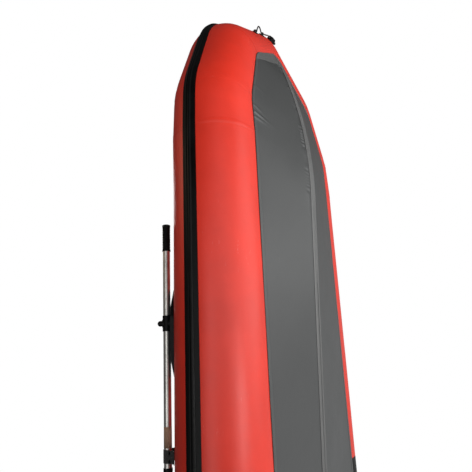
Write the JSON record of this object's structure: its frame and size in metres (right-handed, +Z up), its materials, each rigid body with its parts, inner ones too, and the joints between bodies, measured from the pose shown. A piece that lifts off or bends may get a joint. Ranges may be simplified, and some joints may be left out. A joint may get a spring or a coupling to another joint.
{
  "type": "inflatable dinghy",
  "caption": "Inflatable dinghy with a V bottom, pointed bow, plywood floor and transom, sliding benches, rubbing strake and stowed oars.",
  "frame": {"origin": "centre of the boat's bounding box on the plane that the keel line and the tubes' stern ends rest on", "axes": "+X to the bow, +Y to port, +Z up"},
  "size_m": [3.2896, 1.5678, 0.5539],
  "materials": {
    "tube_red": "satin coated fabric",
    "bottom_grey": "satin coated fabric",
    "marine_ply": "sealed plywood",
    "alloy": "satin",
    "stainless": "satin",
    "trim_black": "satin rubber",
    "webbing_black": "woven",
    "moulded_black": "satin"
  },
  "bodies": {
    "hull": {"starboard_tube": "tube_red", "port_tube": "tube_red", "bow_tube": "tube_red", "bulkheads": "tube_red", "stern_cones": "tube_red", "cone_caps": "trim_black", "bottom_skin": "bottom_grey", "hull_seam_tapes": "bottom_grey", "air_keel": "bottom_grey", "keel_strip": "bottom_grey", "board_bow": "marine_ply", "board_mid_fore": "marine_ply", "board_mid_aft": "marine_ply", "board_stern": "marine_ply", "floor_joiners": "alloy", "floor_stringers": "alloy", "transom": "marine_ply", "transom_flanges": "trim_black", "stern_patches": "trim_black", "motor_plate_outer": "moulded_black", "motor_plate_inner": "moulded_black", "transom_screws": "stainless", "tow_eyes": "stainless", "tow_eye_nuts": "stainless", "drain_body": "moulded_black", "rub_strake": "trim_black", "oarlock_pads": "trim_black", "oarlock_pins": "stainless", "oarlock_knobs": "moulded_black", "starboard_strap": "webbing_black", "port_strap": "webbing_black", "bench_rails": "trim_black", "carry_handles": "trim_black", "valve_bodies": "moulded_black", "bow_eyelets": "moulded_black", "bow_eye": "moulded_black", "bow_rope": "webbing_black"},
    "starboard_oar": {"starboard_oar_shaft": "alloy", "starboard_oar_grip": "moulded_black", "starboard_collar": "moulded_black"},
    "starboard_blade": {"starboard_blade_shaft": "alloy", "starboard_oar_blade": "moulded_black"},
    "port_oar": {"port_oar_shaft": "alloy", "port_oar_grip": "moulded_black", "port_collar": "moulded_black"},
    "port_blade": {"port_blade_shaft": "alloy", "port_oar_blade": "moulded_black"},
    "fore_bench": {"fore_bench": "marine_ply", "fore_bench_hooks": "alloy"},
    "aft_bench": {"aft_bench": "marine_ply", "aft_bench_hooks": "alloy"},
    "drain_flap": {"drain_flap": "moulded_black"},
    "starboard_valve_cap": {"starboard_valve_cap": "moulded_black"},
    "starboard_plunger": {"starboard_plunger": "stainless"},
    "port_valve_cap": {"port_valve_cap": "moulded_black"},
    "port_plunger": {"port_plunger": "stainless"},
    "bow_valve_cap": {"bow_valve_cap": "moulded_black"},
    "bow_plunger": {"bow_plunger": "stainless"},
    "keel_valve_cap": {"keel_valve_cap": "moulded_black"},
    "keel_plunger": {"keel_plunger": "stainless"}
  },
  "joints": [
    {"name": "starboard_oar_swing", "type": "hinge", "parent": "hull", "child": "starboard_oar", "pos_m": [-0.25234, -0.66128, 0.49149], "axis": [-0.05, -0.4067, 0.9122], "range_deg": [0, 100], "deforming": ["starboard_strap"]},
    {"name": "starboard_blade_turn", "type": "hinge", "parent": "starboard_oar", "child": "starboard_blade", "pos_m": [-0.77659, -0.65979, 0.46341], "axis": [0.9986, -0.0028, 0.0535], "range_deg": [0, 90], "deforming": ["starboard_strap"]},
    {"name": "port_oar_swing", "type": "hinge", "parent": "hull", "child": "port_oar", "pos_m": [-0.25234, 0.66128, 0.49149], "axis": [0.05, -0.4067, -0.9122], "range_deg": [0, 100], "deforming": ["port_strap"]},
    {"name": "port_blade_turn", "type": "hinge", "parent": "port_oar", "child": "port_blade", "pos_m": [-0.77659, 0.65979, 0.46341], "axis": [-0.9986, -0.0028, -0.0535], "range_deg": [0, 90], "deforming": ["port_strap"]},
    {"name": "fore_bench_slide", "type": "slide", "parent": "hull", "child": "fore_bench", "axis": [0.9989, 0, 0.0471], "range_m": [-0.1, 0.25]},
    {"name": "aft_bench_slide", "type": "slide", "parent": "hull", "child": "aft_bench", "axis": [0.9989, 0, 0.0471], "range_m": [-0.15, 0.2]},
    {"name": "starboard_cap_turn", "type": "hinge", "parent": "hull", "child": "starboard_valve_cap", "pos_m": [-1.05475, -0.41621, 0.37499], "axis": [-0.0339, 0.6947, 0.7185], "range_deg": [0, 90]},
    {"name": "port_cap_turn", "type": "hinge", "parent": "hull", "child": "port_valve_cap", "pos_m": [-1.05475, 0.41621, 0.37499], "axis": [-0.0339, -0.6947, 0.7185], "range_deg": [0, 90]},
    {"name": "bow_cap_turn", "type": "hinge", "parent": "hull", "child": "bow_valve_cap", "pos_m": [0.92746, -0.37556, 0.47101], "axis": [-0.3511, 0.6193, 0.7023], "range_deg": [0, 90]},
    {"name": "keel_cap_turn", "type": "hinge", "parent": "hull", "child": "keel_valve_cap", "pos_m": [-0.82798, 0, 0.07797], "axis": [-0.0478, 0, 0.9989], "range_deg": [0, 90]},
    {"name": "starboard_plunger_press", "type": "slide", "parent": "hull", "child": "starboard_plunger", "axis": [-0.0339, 0.6947, 0.7185], "range_m": [-0.006, 0], "stiffness_N_per_m": 300, "springref_m": 0.004},
    {"name": "port_plunger_press", "type": "slide", "parent": "hull", "child": "port_plunger", "axis": [-0.0339, -0.6947, 0.7185], "range_m": [-0.006, 0], "stiffness_N_per_m": 300, "springref_m": 0.004},
    {"name": "bow_plunger_press", "type": "slide", "parent": "hull", "child": "bow_plunger", "axis": [-0.3511, 0.6193, 0.7023], "range_m": [-0.006, 0], "stiffness_N_per_m": 300, "springref_m": 0.004},
    {"name": "keel_plunger_press", "type": "slide", "parent": "hull", "child": "keel_plunger", "axis": [-0.0478, 0, 0.9989], "range_m": [-0.006, 0], "stiffness_N_per_m": 300, "springref_m": 0.004},
    {"name": "drain_flap_swing", "type": "hinge", "parent": "hull", "child": "drain_flap", "pos_m": [-1.19262, 0, 0.08504], "axis": [0, 1, 0], "range_deg": [0, 80], "stiffness_Nm_per_rad": 0.01, "springref_deg": -34.38}
  ],
  "couplings": [
    {"joint": "starboard_blade_turn", "follows": "starboard_oar_swing", "ratio": 0.9},
    {"joint": "port_blade_turn", "follows": "port_oar_swing", "ratio": 0.9}
  ]
}
